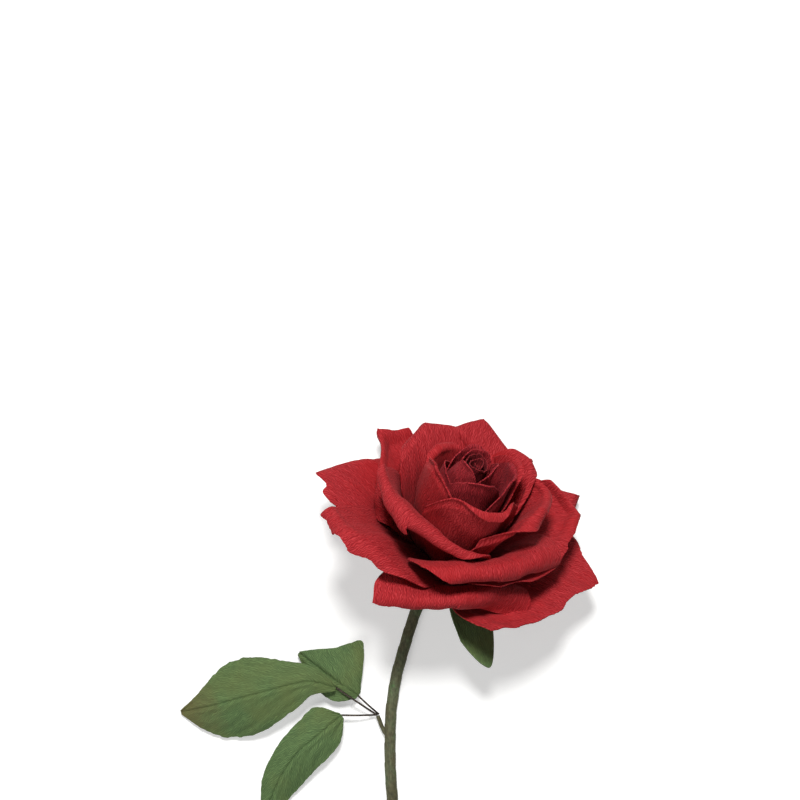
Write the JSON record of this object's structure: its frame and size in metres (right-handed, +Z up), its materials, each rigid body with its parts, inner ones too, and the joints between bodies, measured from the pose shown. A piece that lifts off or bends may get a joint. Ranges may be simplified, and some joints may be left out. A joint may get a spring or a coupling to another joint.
{
  "type": "crepe paper rose",
  "caption": "Open long-stemmed rose of crepe paper lying on its back: rolled petals round a tight heart, sepals, wired stem in green paper and a wired leaf of leaflets.",
  "frame": {"origin": "centre of the stem's cut end", "axes": "+Y up the stem towards the bloom, +Z up from the surface the rose lies on, +X to its right"},
  "size_m": [0.1927, 0.2905, 0.0772],
  "materials": {
    "crepe_red": "matt, finely ridged",
    "crepe_green": "matt, finely ridged",
    "dark_wire": "dark, satin"
  },
  "bodies": {
    "root": {"bud_core": "crepe_red", "bud_roll": "crepe_red", "hip": "crepe_green", "leaf_1": "crepe_green", "leaf_2": "crepe_green", "leaf_3": "crepe_green", "leaf_wire_1": "dark_wire", "leaf_wire_2": "dark_wire", "leaf_wire_3": "dark_wire", "petal_heart_1": "crepe_red", "petal_heart_2": "crepe_red", "petal_heart_3": "crepe_red", "petal_heart_4": "crepe_red", "petal_inner_1": "crepe_red", "petal_inner_2": "crepe_red", "petal_inner_3": "crepe_red", "petal_mid_1": "crepe_red", "petal_mid_2": "crepe_red", "petal_mid_3": "crepe_red", "petal_mid_4": "crepe_red", "petal_mid_5": "crepe_red", "petal_outer_1": "crepe_red", "petal_outer_2": "crepe_red", "petal_outer_3": "crepe_red", "petal_outer_4": "crepe_red", "petal_outer_5": "crepe_red", "petal_round_1": "crepe_red", "petal_round_2": "crepe_red", "petal_round_3": "crepe_red", "petal_round_4": "crepe_red", "petal_wide_1": "crepe_red", "petal_wide_2": "crepe_red", "petal_wide_3": "crepe_red", "petal_wide_4": "crepe_red", "petal_wide_5": "crepe_red", "petiole": "crepe_green", "sepal_1": "crepe_green", "sepal_2": "crepe_green", "sepal_3": "crepe_green", "sepal_4": "crepe_green", "sepal_5": "crepe_green", "stem_wire": "dark_wire", "stem_wrap": "crepe_green"}
  },
  "joints": []
}
